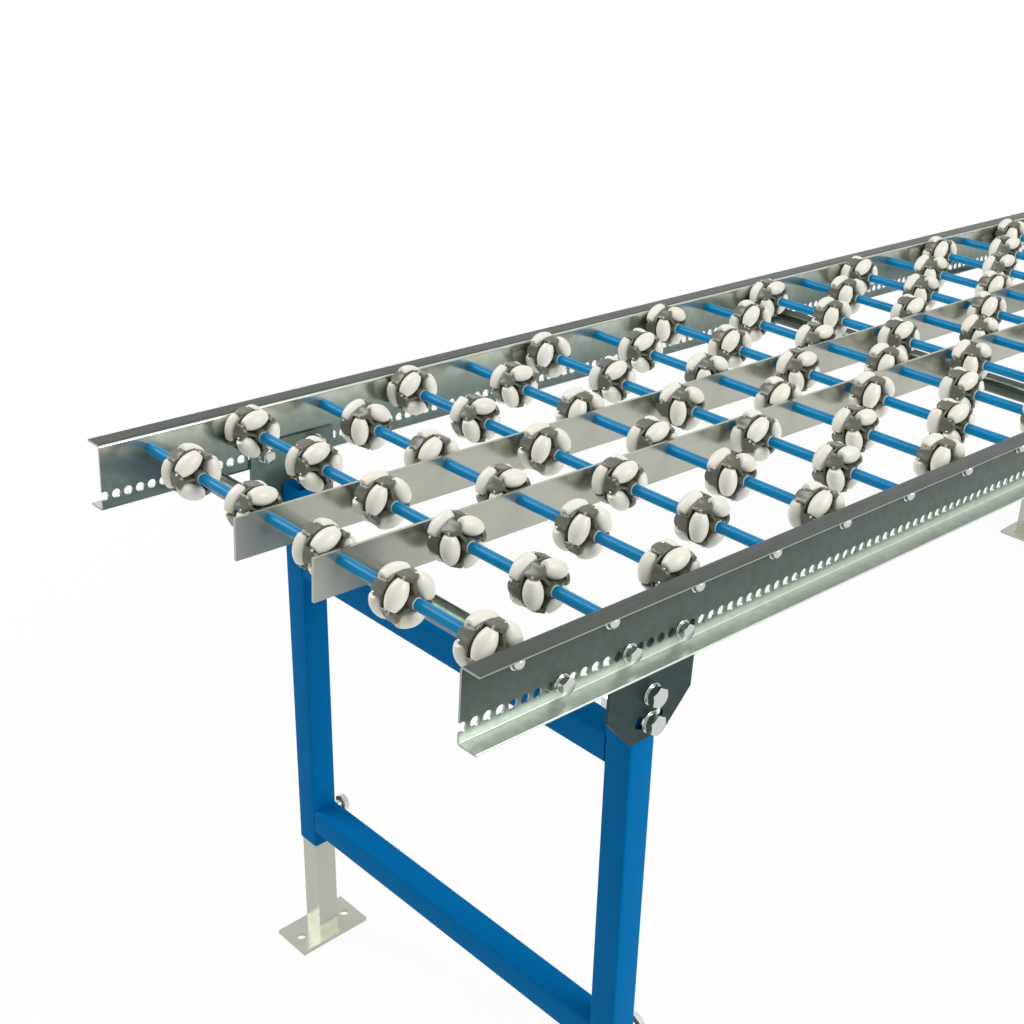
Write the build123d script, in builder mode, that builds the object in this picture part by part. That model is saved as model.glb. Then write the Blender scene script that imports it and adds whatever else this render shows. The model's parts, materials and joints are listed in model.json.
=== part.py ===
"""Omni-wheel roller conveyor: a 2 m bed of free wheels on two stands of adjustable height.

World frame: floor at Z = 0, X along the bed towards its low end, Y across it, Z up.
The bed is modelled in a frame of its own, with x from the front end of the rails, y from the middle
and z from the rails' underside, and BED_PLACE then sets it on its stands.
A stand is modelled from the middle of the line through its two pivot bolts.
A wheel is modelled with its axle along Z and its middle at the origin.
"""

from build123d import *
from math import cos, radians, sin, sqrt
import os

os.makedirs("parts", exist_ok=True)

# Bed
HOLE_PITCH = 12.5
FIRST_HOLE = 2.2
HOLES = 161
HOLE_Z = 15.0
ROWS = 20
ROW_PITCH = 8 * HOLE_PITCH
FIRST_ROW_X = FIRST_HOLE + 4 * HOLE_PITCH
BED_LENGTH = 2 * FIRST_HOLE + (HOLES - 1) * HOLE_PITCH
CLEAR_WIDTH = 498.0
AXLE_Z = 51.5
SLOPE = 2.5

# Side rails: C profiles of bent sheet with the flanges turned outward
RAIL_HEIGHT = 66.0
FLANGE = 18.5
SHEET = 2.0
BEND_RADIUS = 1.5

# Flat bars on edge, which carry the axles between the rails and stand on the cross ties
BAR_THICKNESS = 3.0
BAR_HEIGHT = 40.0
BAR_BOTTOM_Z = 20.5
BAR_WHEEL_GAP = 1.5
BARRED_WHEELS = (2, 3)
BAR_SETBACKS = (24.3, 17.0)

# Cross ties
TIE_HOLES = (8, 80, 152)
TIE_DIAMETER = 22.0
TIE_BORE = 8.0

# Omni wheels
WHEEL_RADIUS = 24.0
WHEELS_PER_ROW = 5
NEAR_WHEEL_GAP = 9.0
FAR_WHEEL_GAP = 2.0
HUB_HALF_LENGTH = 18.5
BARREL_RADIUS = 8.6
BARREL_HALF_LENGTH = 14.0
BARRELS_PER_RING = 3
RING_OFFSET = 9.5
RING_PHASE = 90.0
HUB_CORE_RADIUS = 6.2
BOSS_RADIUS = 7.8
BOSS_LENGTH = 4.0
DISC_RADIUS = 21.8
DISC_THICKNESS = 1.2
ARM_WIDTH = 3.0
ARM_REACH = 16.5
EAR_RADIUS = 23.2
EAR_HALF_WIDTH = 7.0
EAR_REACH = 15.0
EAR_ROUND = 6.0
PIN_DIAMETER = 3.0
PIN_INSET = 0.35
SHOWN_WHEEL = 1

# Axles and the blue tubes that space the wheels on them
AXLE_DIAMETER = 8.0
SPACER_DIAMETER = 10.0
SCREW_DIAMETER = 5.0
SCREW_DEPTH = 12.0
SCREW_HEAD_DIAMETER = 10.0
SCREW_HEAD_HEIGHT = 3.2
SCREW_WASHER_DIAMETER = 12.5
SCREW_WASHER_THICKNESS = 1.2

# Bracket plates, bolted to the webs' inner faces
PLATE_THICKNESS = 3.0
PLATE_TOP_Z = 27.0
PLATE_HALF_WIDTH = 50.5
PLATE_SHOULDER_Z = -48.0
PLATE_BOTTOM_Z = -80.0
PLATE_BOTTOM_HALF = 21.0
BRACKET_HOLES = (14, 19)
PIVOT_X = 212.2
PIVOT_Z = -37.0
SLOT_RADIUS = 27.0
SLOT_HALF_ANGLE = 26.0

# Stands
TUBE = 30.0
TUBE_WALL = 2.0
PLATE_GAP = 2.0
UPRIGHT_TOP = 18.0
UPRIGHT_BOTTOM = -425.0
UPPER_BAR_TOP = -50.5
LOWER_BAR_TOP = -376.0
LEG_TUBE = 25.4
LEG_WALL = 2.0
LEG_LENGTH = 330.0
FRONT_EXTENSION = 130.0
FOOT_LENGTH = 90.0
FOOT_WIDTH = 50.0
FOOT_THICKNESS = 5.0
ANCHOR_HOLE = 11.0
ANCHOR_X = 31.0
CLAMP_Z = -396.0
CLAMP_STAND_OFF = 17.0

# Hexagon fasteners: M8 on the rails, M10 on the stands
RAIL_BOLT = 8.0
RAIL_BOLT_FLATS = 13.0
RAIL_BOLT_HEAD = 5.3
RAIL_NUT = 6.5
RAIL_BOLT_REACH = 16.0
STAND_BOLT = 10.0
STAND_BOLT_FLATS = 17.0
STAND_BOLT_HEAD = 6.4
STAND_NUT = 8.0

# Clearances
RUNNING = 0.05
BARREL_RUNNING = 0.08
END_PLAY = 0.4
BOLT_PLAY = 0.5
SLOT_PLAY = 0.5
CLAMP_GAP = 0.05

# Worked out from the dimensions above
WEB_INNER = CLEAR_WIDTH / 2
WEB_OUTER = WEB_INNER + SHEET
RAIL_DEPTH = SHEET + FLANGE
WHEEL_SPREAD = CLEAR_WIDTH - NEAR_WHEEL_GAP - FAR_WHEEL_GAP - 2 * HUB_HALF_LENGTH
WHEEL_PITCH = WHEEL_SPREAD / (WHEELS_PER_ROW - 0.5)
FIRST_WHEEL_Y = NEAR_WHEEL_GAP + HUB_HALF_LENGTH - WEB_INNER
BAR_STAND_OFF = HUB_HALF_LENGTH + BAR_WHEEL_GAP + BAR_THICKNESS
BAR_NEAR_FACES = [FIRST_WHEEL_Y + place * WHEEL_PITCH - BAR_STAND_OFF for place in BARRED_WHEELS]
ROW_XS = [FIRST_ROW_X + row * ROW_PITCH for row in range(ROWS)]
PIVOT_XS = (PIVOT_X, BED_LENGTH - PIVOT_X)
FRONT_PIVOT_HEIGHT = FOOT_THICKNESS + FRONT_EXTENSION - UPRIGHT_BOTTOM
PIVOT_DROP = (PIVOT_XS[1] - PIVOT_XS[0]) * sin(radians(SLOPE))
EXTENSIONS = (FRONT_EXTENSION, FRONT_EXTENSION - PIVOT_DROP)
WORLD_LENGTH = BED_LENGTH * cos(radians(SLOPE)) + RAIL_HEIGHT * sin(radians(SLOPE))
BED_HEIGHT = FRONT_PIVOT_HEIGHT + PIVOT_X * sin(radians(SLOPE)) - PIVOT_Z * cos(radians(SLOPE))
BED_PLACE = Location((-WORLD_LENGTH / 2, 0, BED_HEIGHT), (0, SLOPE, 0))
UPRIGHT_FACE = WEB_INNER - PLATE_THICKNESS - PLATE_GAP
UPRIGHT_Y = UPRIGHT_FACE - TUBE / 2
BARREL_AXIS = WHEEL_RADIUS - BARREL_RADIUS
WINDOW = BARREL_HALF_LENGTH + END_PLAY
PIN_HALF_LENGTH = sqrt(EAR_RADIUS**2 - BARREL_AXIS**2) - PIN_INSET
NEAR, FAR = -1, 1
FRONT, REAR = 0, 1
ENDS = {"front": FRONT, "rear": REAR}


def write(piece, label, place=Location()):
    """Labels a finished sub-part, sets it in its place and writes its file."""
    piece.part.location = place
    piece.part.label = label
    export_step(piece.part, f"parts/{label}.step")


def hole_x(index):
    """The place along the rails of one of their punched holes."""
    return FIRST_HOLE + index * HOLE_PITCH


def bracket_xs(end):
    """The two punched holes that hold a bracket plate at one end of the bed."""
    xs = [hole_x(index) for index in BRACKET_HOLES]
    return xs if end == FRONT else [BED_LENGTH - x for x in xs]


def wheel_ys(row):
    """The wheels' middles along an axle; neighbouring rows are set half a pitch apart."""
    return [FIRST_WHEEL_Y + (place + row % 2 / 2) * WHEEL_PITCH for place in range(WHEELS_PER_ROW)]


def wheel_place(row, y):
    """Where a wheel sits in the world: its own Z axis is laid along the axle."""
    return BED_PLACE * Location((ROW_XS[row], y, AXLE_Z), (-90, 0, 0))


def pivot_place(end):
    """The middle of a stand's pivot line in the world, with the stand upright on the floor."""
    point = (BED_PLACE * Location((PIVOT_XS[end], 0, PIVOT_Z))).position
    return Location((point.X, 0, point.Z))


def side_rail(side):
    """A rail with the holes that its ties, bracket plates and first axle are screwed through."""
    bolt_xs = [hole_x(index) for index in TIE_HOLES] + bracket_xs(FRONT) + bracket_xs(REAR)
    with BuildPart() as rail:
        with BuildSketch(Plane.YZ) as section:
            with Locations((side * (WEB_INNER + RAIL_DEPTH / 2), RAIL_HEIGHT / 2)):
                Rectangle(RAIL_DEPTH, RAIL_HEIGHT)
            web_corners = section.vertices().sort_by(Axis.X)
            fillet(web_corners[:2] if side == FAR else web_corners[-2:], BEND_RADIUS + SHEET)
        extrude(amount=BED_LENGTH)
        with BuildSketch(Plane.YZ) as channel:
            with Locations((side * (WEB_OUTER + RAIL_DEPTH / 2), RAIL_HEIGHT / 2)):
                Rectangle(RAIL_DEPTH, RAIL_HEIGHT - 2 * SHEET)
            inner_corners = channel.vertices().sort_by(Axis.X)
            fillet(inner_corners[:2] if side == FAR else inner_corners[-2:], BEND_RADIUS)
        extrude(amount=BED_LENGTH, mode=Mode.SUBTRACT)
        with BuildSketch(Plane.XZ.offset(-side * WEB_INNER)):
            with Locations([(x, HOLE_Z) for x in bolt_xs]):
                Circle(RAIL_BOLT / 2 + BOLT_PLAY)
            with Locations((ROW_XS[0], AXLE_Z)):
                Circle(SCREW_DIAMETER / 2)
        extrude(amount=-side * SHEET, mode=Mode.SUBTRACT)
    return rail


def inner_bar(near_face, setback):
    """A flat bar on edge, pierced by the axles and notched over the cross ties."""
    with BuildPart() as bar:
        with BuildSketch(Plane.XZ.offset(-near_face)):
            with Locations((BED_LENGTH / 2, BAR_BOTTOM_Z + BAR_HEIGHT / 2)):
                Rectangle(BED_LENGTH - 2 * setback, BAR_HEIGHT)
            with Locations((ROW_XS[0], AXLE_Z)):
                Circle(AXLE_DIAMETER / 2, mode=Mode.SUBTRACT)
            with Locations([(x, AXLE_Z) for x in ROW_XS[1:]]):
                RegularPolygon(SPACER_DIAMETER / 2, 6, major_radius=False, mode=Mode.SUBTRACT)
            with Locations([(hole_x(index), HOLE_Z) for index in TIE_HOLES]):
                Circle(TIE_DIAMETER / 2, mode=Mode.SUBTRACT)
        extrude(amount=-BAR_THICKNESS)
    return bar


def cross_ties():
    """Round bars, bored and tapped, that hold the rails apart and carry the flat bars."""
    with BuildPart() as ties:
        with BuildSketch(Plane.XZ.offset(-WEB_INNER)):
            with Locations([(hole_x(index), HOLE_Z) for index in TIE_HOLES]):
                Circle(TIE_DIAMETER / 2)
                Circle(TIE_BORE / 2, mode=Mode.SUBTRACT)
        extrude(amount=CLEAR_WIDTH)
    return ties


def axles(rows, diameter):
    """Rods from web to web, one to each row."""
    with BuildPart() as rods:
        with BuildSketch(Plane.XZ.offset(-WEB_INNER)):
            with Locations([(ROW_XS[row], AXLE_Z) for row in rows]):
                Circle(diameter / 2)
        extrude(amount=CLEAR_WIDTH)
    return rods


def first_axle():
    """The first row's axle, tapped at both ends for its screws."""
    with BuildPart() as axle:
        with BuildSketch(Plane.XZ.offset(-WEB_INNER)):
            with Locations((ROW_XS[0], AXLE_Z)):
                Circle(AXLE_DIAMETER / 2)
        extrude(amount=CLEAR_WIDTH)
        for start in (-WEB_INNER, WEB_INNER - SCREW_DEPTH):
            with BuildSketch(Plane.XZ.offset(-start)):
                with Locations((ROW_XS[0], AXLE_Z)):
                    Circle(SCREW_DIAMETER / 2)
            extrude(amount=-SCREW_DEPTH, mode=Mode.SUBTRACT)
    return axle


def first_row_gaps():
    """The clear lengths of the first axle between rails, wheels and flat bars, as (start, end) in y."""
    stops = [(-WEB_INNER - 1, -WEB_INNER), (WEB_INNER, WEB_INNER + 1)]
    stops += [(y - HUB_HALF_LENGTH, y + HUB_HALF_LENGTH) for y in wheel_ys(0)]
    stops += [(face, face + BAR_THICKNESS) for face in BAR_NEAR_FACES]
    stops.sort()
    return [(before[1], after[0]) for before, after in zip(stops, stops[1:])]


def spacers(gaps, diameter, length=None):
    """Tubes on the first axle: each fills its gap, or starts there and has the length given."""
    with BuildPart() as tubes:
        for start, end in gaps:
            with BuildSketch(Plane.XZ.offset(-start)):
                with Locations((ROW_XS[0], AXLE_Z)):
                    Circle(diameter / 2)
                    Circle(AXLE_DIAMETER / 2 + RUNNING, mode=Mode.SUBTRACT)
            extrude(amount=-(length or end - start))
    return tubes


def axle_screws():
    """Domed screws with washers, one at each end of the first axle."""
    with BuildPart() as screws:
        for side in (NEAR, FAR):
            seat = Plane(origin=(ROW_XS[0], side * WEB_OUTER, AXLE_Z), z_dir=(0, side, 0))
            with BuildSketch(seat):
                Circle(SCREW_WASHER_DIAMETER / 2)
            extrude(amount=SCREW_WASHER_THICKNESS)
            with BuildSketch(seat.offset(SCREW_WASHER_THICKNESS)):
                Circle(SCREW_HEAD_DIAMETER / 2)
            extrude(amount=SCREW_HEAD_HEIGHT, taper=35)
            with BuildSketch(seat):
                Circle(SCREW_DIAMETER / 2)
            extrude(amount=-(SHEET + SCREW_DEPTH))
    return screws


def hex_bolts(seats, diameter, flats, head, reach, nut=0.0, grip=0.0):
    """Bolts on seats (x, y, z, outward direction), with a nut of the height given past the grip."""
    with BuildPart() as bolts:
        for x, y, z, outward in seats:
            seat = Plane(origin=(x, y, z), z_dir=outward)
            with BuildSketch(seat):
                RegularPolygon(flats / 2, 6, major_radius=False)
            extrude(amount=head)
            with BuildSketch(seat):
                Circle(diameter / 2)
            extrude(amount=-reach)
            if nut:
                with BuildSketch(seat.offset(-grip)):
                    RegularPolygon(flats / 2, 6, major_radius=False)
                extrude(amount=-nut)
    return bolts


def bracket_plates(end):
    """The two plates at one end, each with its pivot hole and the arc slot that clamps the stand."""
    pivot_x = PIVOT_XS[end]
    outline = [(-PLATE_HALF_WIDTH, PLATE_TOP_Z), (-PLATE_HALF_WIDTH, PLATE_SHOULDER_Z)]
    outline += [(-PLATE_BOTTOM_HALF, PLATE_BOTTOM_Z), (PLATE_BOTTOM_HALF, PLATE_BOTTOM_Z)]
    outline += [(PLATE_HALF_WIDTH, PLATE_SHOULDER_Z), (PLATE_HALF_WIDTH, PLATE_TOP_Z)]
    slot_arc = CenterArc((0, 0), SLOT_RADIUS, -90 - SLOT_HALF_ANGLE, 2 * SLOT_HALF_ANGLE)
    with BuildPart() as plates:
        for side in (NEAR, FAR):
            with BuildSketch(Plane.XZ.offset(-side * WEB_INNER)):
                with Locations((pivot_x, 0)):
                    Polygon(*outline, align=None)
                with Locations([(x, HOLE_Z) for x in bracket_xs(end)]):
                    Circle(RAIL_BOLT / 2 + BOLT_PLAY, mode=Mode.SUBTRACT)
                with Locations((pivot_x, PIVOT_Z)):
                    Circle(STAND_BOLT / 2 + RUNNING, mode=Mode.SUBTRACT)
                    SlotArc(slot_arc, STAND_BOLT + 2 * SLOT_PLAY, mode=Mode.SUBTRACT)
            extrude(amount=side * PLATE_THICKNESS)
    return plates


def barrel():
    """One free barrel of an omni wheel, lying along X, its flank struck from the wheel's axle."""
    end_radius = sqrt(WHEEL_RADIUS**2 - BARREL_HALF_LENGTH**2) - BARREL_AXIS
    inner = PIN_DIAMETER / 2 + BARREL_RUNNING
    with BuildPart() as roller:
        with BuildSketch(Plane.XY):
            with BuildLine():
                flank = ThreePointArc(
                    (-BARREL_HALF_LENGTH, end_radius),
                    (0, BARREL_RADIUS),
                    (BARREL_HALF_LENGTH, end_radius),
                )
                Polyline(
                    flank @ 1,
                    (BARREL_HALF_LENGTH, inner),
                    (-BARREL_HALF_LENGTH, inner),
                    flank @ 0,
                )
            make_face()
        revolve(axis=Axis.X)
    return roller


def barrel_places():
    """The six barrels' places in the wheel: two rings, one turned half a step from the other."""
    places = []
    for ring, face in enumerate((-1, 1)):
        for step in range(BARRELS_PER_RING):
            angle = RING_PHASE + (step + ring / 2) * 360 / BARRELS_PER_RING
            turn = Location((0, 0, face * RING_OFFSET), (0, 0, angle))
            places.append(turn * Location((BARREL_AXIS, 0, 0), (0, 0, 90)))
    return places


def pins():
    """Steel pins through the barrels, held at both ends in the hub's ears."""
    with BuildPart() as rods:
        for place in barrel_places():
            with Locations(place * Location((0, 0, 0), (0, 90, 0))):
                Cylinder(PIN_DIAMETER / 2, 2 * PIN_HALF_LENGTH)
    return rods


def ear():
    """A rounded ear, on +X, that fills the wedge between two barrels' ends and holds their pins."""
    half_step = radians(180 / BARRELS_PER_RING)
    tip_x = WINDOW / sin(half_step)
    edge_x = (WINDOW + EAR_HALF_WIDTH * cos(half_step)) / sin(half_step)
    wedge = [(tip_x, 0), (edge_x, -EAR_HALF_WIDTH), (WHEEL_RADIUS, -EAR_HALF_WIDTH)]
    wedge += [(WHEEL_RADIUS, EAR_HALF_WIDTH), (edge_x, EAR_HALF_WIDTH)]
    with BuildPart() as tongue:
        with BuildSketch(Plane.YZ) as outline:
            with Locations((0, EAR_REACH / 2)):
                Rectangle(2 * EAR_HALF_WIDTH, EAR_REACH)
            fillet(outline.vertices().sort_by(Axis.Y)[-2:], EAR_ROUND)
        extrude(amount=WHEEL_RADIUS)
        with BuildSketch(Plane.XY):
            Polygon(*wedge, align=None)
        extrude(amount=EAR_REACH, mode=Mode.INTERSECT)
        with BuildSketch(Plane.XY):
            Circle(EAR_RADIUS)
        extrude(amount=EAR_REACH, mode=Mode.INTERSECT)
    return tongue


def hub():
    """The wheel's hub: a core on the axle, a middle disc, and on each face three arms with ears."""
    tongue = ear()
    with BuildPart() as body:
        Cylinder(HUB_CORE_RADIUS, 2 * HUB_HALF_LENGTH)
        Cylinder(DISC_RADIUS, DISC_THICKNESS)
        for ring, face in enumerate((-1, 1)):
            with Locations((0, 0, face * (HUB_HALF_LENGTH - BOSS_LENGTH / 2))):
                Cylinder(BOSS_RADIUS, BOSS_LENGTH)
            for step in range(BARRELS_PER_RING):
                angle = RING_PHASE + (step + (ring + 1) / 2) * 360 / BARRELS_PER_RING
                turn = Location((0, 0, 0), (0, 0, angle)) * Location((0, 0, 0), (90 - 90 * face, 0, 0))
                with Locations(turn * Location((DISC_RADIUS / 2, 0, ARM_REACH / 2))):
                    Box(DISC_RADIUS, ARM_WIDTH, ARM_REACH)
                with Locations(turn):
                    add(tongue.part)
        for place in barrel_places():
            with Locations(place * Location((0, 0, 0), (0, 90, 0))):
                Cylinder(PIN_DIAMETER / 2, 2 * EAR_RADIUS, mode=Mode.SUBTRACT)
        Cylinder(AXLE_DIAMETER / 2 + RUNNING, 2 * HUB_HALF_LENGTH, mode=Mode.SUBTRACT)
    return body


def plain_wheels(row, ys, axle):
    """Wheels on one axle in outline only: twelve-sided, as wide as a hub, with a six-sided bore."""
    with BuildPart() as wheels:
        for y in ys:
            with BuildSketch(Plane.XZ.offset(HUB_HALF_LENGTH - y)):
                with Locations((ROW_XS[row], AXLE_Z)):
                    RegularPolygon(WHEEL_RADIUS, 12)
                    RegularPolygon(axle / 2 + RUNNING, 6, major_radius=False, mode=Mode.SUBTRACT)
            extrude(amount=-2 * HUB_HALF_LENGTH)
    return wheels


def uprights():
    """The two square tubes of a stand, drilled for the pivot, the clamp in the slot and the leg's clamp."""
    with BuildPart() as posts:
        with Locations([(0, side * UPRIGHT_Y, UPRIGHT_BOTTOM) for side in (NEAR, FAR)]):
            bottom = Align.MIN
            Box(TUBE, TUBE, UPRIGHT_TOP - UPRIGHT_BOTTOM, align=(Align.CENTER, Align.CENTER, bottom))
            inner = TUBE - 2 * TUBE_WALL
            Box(
                inner,
                inner,
                UPRIGHT_TOP - UPRIGHT_BOTTOM,
                align=(Align.CENTER, Align.CENTER, bottom),
                mode=Mode.SUBTRACT,
            )
        with BuildSketch(Plane.XZ.offset(-UPRIGHT_FACE)):
            with Locations((0, 0), (0, -SLOT_RADIUS)):
                Circle(STAND_BOLT / 2 + BOLT_PLAY)
        extrude(amount=2 * UPRIGHT_FACE, mode=Mode.SUBTRACT)
        with BuildSketch(Plane.YZ.offset(TUBE / 2)):
            with Locations([(side * UPRIGHT_Y, CLAMP_Z) for side in (NEAR, FAR)]):
                Circle(STAND_BOLT / 2 + BOLT_PLAY)
        extrude(amount=-TUBE_WALL, mode=Mode.SUBTRACT)
    return posts


def crossbar(top):
    """A square tube welded between a stand's uprights."""
    with BuildPart() as bar:
        with BuildSketch(Plane.XZ.offset(TUBE - UPRIGHT_FACE)):
            with Locations((0, top - TUBE / 2)):
                Rectangle(TUBE, TUBE)
                Rectangle(TUBE - 2 * TUBE_WALL, TUBE - 2 * TUBE_WALL, mode=Mode.SUBTRACT)
        extrude(amount=2 * (UPRIGHT_FACE - TUBE))
    return bar


def inner_leg(side, extension):
    """A telescopic leg, drawn out of its upright by the extension given, with its foot plate."""
    foot_z = UPRIGHT_BOTTOM - extension
    with BuildPart() as leg:
        with BuildSketch(Plane.XY.offset(foot_z)):
            with Locations((0, side * UPRIGHT_Y)):
                Rectangle(LEG_TUBE, LEG_TUBE)
                Rectangle(LEG_TUBE - 2 * LEG_WALL, LEG_TUBE - 2 * LEG_WALL, mode=Mode.SUBTRACT)
        extrude(amount=LEG_LENGTH)
        with BuildSketch(Plane.XY.offset(foot_z)):
            with Locations((0, side * UPRIGHT_Y)):
                Rectangle(FOOT_LENGTH, FOOT_WIDTH)
                with Locations((-ANCHOR_X, 0), (ANCHOR_X, 0)):
                    Circle(ANCHOR_HOLE / 2, mode=Mode.SUBTRACT)
        extrude(amount=-FOOT_THICKNESS)
    return leg


# The bed's frame
write(side_rail(NEAR), "side_rail_near", BED_PLACE)
write(side_rail(FAR), "side_rail_far", BED_PLACE)
for name, near_face, setback in zip(("near", "far"), BAR_NEAR_FACES, BAR_SETBACKS):
    write(inner_bar(near_face, setback), f"inner_bar_{name}", BED_PLACE)
write(cross_ties(), "cross_ties", BED_PLACE)

# Everything bolted to the rails
outward = {NEAR: (0, -1, 0), FAR: (0, 1, 0)}
tie_seats = [(hole_x(i), s * WEB_OUTER, HOLE_Z, outward[s]) for i in TIE_HOLES for s in outward]
tie_bolts = hex_bolts(tie_seats, RAIL_BOLT, RAIL_BOLT_FLATS, RAIL_BOLT_HEAD, RAIL_BOLT_REACH)
write(tie_bolts, "cross_tie_bolts", BED_PLACE)
bracket_seats = [
    (x, side * WEB_OUTER, HOLE_Z, outward[side])
    for end in ENDS.values()
    for x in bracket_xs(end)
    for side in outward
]
bracket_bolts = hex_bolts(
    bracket_seats,
    RAIL_BOLT,
    RAIL_BOLT_FLATS,
    RAIL_BOLT_HEAD,
    RAIL_BOLT_REACH,
    RAIL_NUT,
    SHEET + PLATE_THICKNESS,
)
write(bracket_bolts, "bracket_bolts", BED_PLACE)
for name, end in ENDS.items():
    write(bracket_plates(end), f"bracket_plates_{name}", BED_PLACE)

# Axles, with the first row's spacers and screws shown apart
write(first_axle(), "axle_row_1", BED_PLACE)
write(axles(range(1, ROWS), SPACER_DIAMETER), "axles_rows_2_to_20", BED_PLACE)
write(spacers(first_row_gaps(), SPACER_DIAMETER), "spacer_tubes_row_1", BED_PLACE)
write(axle_screws(), "axle_screws_row_1", BED_PLACE)

# The shown wheel in full: hub, pins and six free barrels
shown_place = wheel_place(0, wheel_ys(0)[SHOWN_WHEEL])
write(hub(), "omni_hub", shown_place)
write(pins(), "omni_pins", shown_place)
for number, place in enumerate(barrel_places(), 1):
    write(barrel(), f"omni_barrel_{number}", shown_place * place)

# The other wheels: one by one in the first row, and row by row beyond it
for number, y in enumerate(wheel_ys(0), 1):
    if number != SHOWN_WHEEL + 1:
        write(plain_wheels(0, [y], AXLE_DIAMETER), f"wheel_row_1_{number}", BED_PLACE)
for row in range(1, ROWS):
    write(plain_wheels(row, wheel_ys(row), SPACER_DIAMETER), f"wheels_row_{row + 1}", BED_PLACE)

# The stands, each with its two telescopic legs
for name, end in ENDS.items():
    place = pivot_place(end)
    write(uprights(), f"{name}_uprights", place)
    write(crossbar(UPPER_BAR_TOP), f"{name}_upper_crossbar", place)
    write(crossbar(LOWER_BAR_TOP), f"{name}_lower_crossbar", place)
    bolt_size = (STAND_BOLT, STAND_BOLT_FLATS, STAND_BOLT_HEAD)
    grip = WEB_INNER - UPRIGHT_FACE + TUBE
    for what, z in (("pivot", 0), ("slot", -SLOT_RADIUS)):
        seats = [(0, side * WEB_INNER, z, outward[side]) for side in outward]
        write(hex_bolts(seats, *bolt_size, grip + STAND_NUT + 2, STAND_NUT, grip), f"{name}_{what}_bolts", place)
    clamp_seats = [(TUBE / 2 + CLAMP_STAND_OFF, side * UPRIGHT_Y, CLAMP_Z, (1, 0, 0)) for side in outward]
    clamp_reach = CLAMP_STAND_OFF + (TUBE - LEG_TUBE) / 2 - CLAMP_GAP
    clamp_bolts = hex_bolts(clamp_seats, *bolt_size, clamp_reach, STAND_NUT, CLAMP_STAND_OFF - STAND_NUT)
    write(clamp_bolts, f"{name}_height_bolts", place)
    for side_name, side in (("near", NEAR), ("far", FAR)):
        write(inner_leg(side, EXTENSIONS[end]), f"{name}_leg_{side_name}", place)
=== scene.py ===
"""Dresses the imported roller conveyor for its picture: shapes, finishes, lamps and camera."""

import json
import logging
from dataclasses import dataclass, field
from enum import Enum, IntEnum
from math import asin, atan2, cos, degrees, pi, radians, sin, sqrt, tan
from typing import Iterable, Sequence

import bpy
from mathutils import Matrix, Vector

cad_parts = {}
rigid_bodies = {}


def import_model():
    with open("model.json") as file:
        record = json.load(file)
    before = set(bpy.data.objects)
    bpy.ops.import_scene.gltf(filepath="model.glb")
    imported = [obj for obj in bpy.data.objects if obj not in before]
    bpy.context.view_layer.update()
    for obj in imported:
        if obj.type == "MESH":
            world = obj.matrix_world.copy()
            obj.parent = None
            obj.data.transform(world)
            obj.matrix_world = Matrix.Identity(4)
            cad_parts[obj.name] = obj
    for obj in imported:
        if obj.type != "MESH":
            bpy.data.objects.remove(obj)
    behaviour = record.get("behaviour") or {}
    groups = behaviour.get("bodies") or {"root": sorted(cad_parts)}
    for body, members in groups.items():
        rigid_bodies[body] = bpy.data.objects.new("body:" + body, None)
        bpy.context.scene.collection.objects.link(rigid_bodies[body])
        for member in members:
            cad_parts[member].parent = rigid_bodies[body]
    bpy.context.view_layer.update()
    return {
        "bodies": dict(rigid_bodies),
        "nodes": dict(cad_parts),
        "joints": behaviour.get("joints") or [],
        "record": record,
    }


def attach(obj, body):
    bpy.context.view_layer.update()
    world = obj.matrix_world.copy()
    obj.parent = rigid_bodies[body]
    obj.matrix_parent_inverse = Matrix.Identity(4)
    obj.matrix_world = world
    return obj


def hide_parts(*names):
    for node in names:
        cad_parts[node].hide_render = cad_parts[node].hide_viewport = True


LOG = logging.getLogger("conveyor")
MM = 0.001
Outline = list[tuple[float, float]]


class Side(Enum):
    """The two rails: the one nearer the camera and the one beyond."""

    NEAR = -1
    FAR = 1


class End(Enum):
    """The two stands, under the bed's high front end and its low rear end."""

    FRONT = "front"
    REAR = "rear"


# Sizes in millimetres. Those of the hubs, barrels, pins and spacer tubes were fitted to the photo and differ
# a little from the part's source, which has the others.

HOLE_PITCH = 12.5
FIRST_HOLE = 2.2
HOLES = 161
HOLE_Z = 15.0
HALF_PITCH = HOLE_PITCH / 2
HOLE_RADIUS = 4.5
HOLE_STEPS = 24
END_HOLE_STEPS = 16
ROWS = 20
ROW_PITCH = 8 * HOLE_PITCH
FIRST_ROW_X = FIRST_HOLE + 4 * HOLE_PITCH
BED_LENGTH = 2 * FIRST_HOLE + (HOLES - 1) * HOLE_PITCH
WEB_INNER = 249.0
SHEET = 2.0
WEB_OUTER = WEB_INNER + SHEET
FLANGE = 18.5
RAIL_HEIGHT = 66.0
BEND_RADIUS = 1.5
LIP = 0.5
FLANGE_SEEN = 0.6
SMOOTH = 35.0
RAIL_SMOOTH = 30.0
AXLE_Z = 51.5
BAR_THICKNESS = 3.0
BAR_NEAR_FACES = (-44.5, 55.5)

WHEELS_PER_ROW = 5
WHEEL_PITCH = 100.0
ODD_ROW_FIRST_Y = -221.5
EVEN_ROW_FIRST_Y = -171.5
SHOWN_WHEEL = 1
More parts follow.
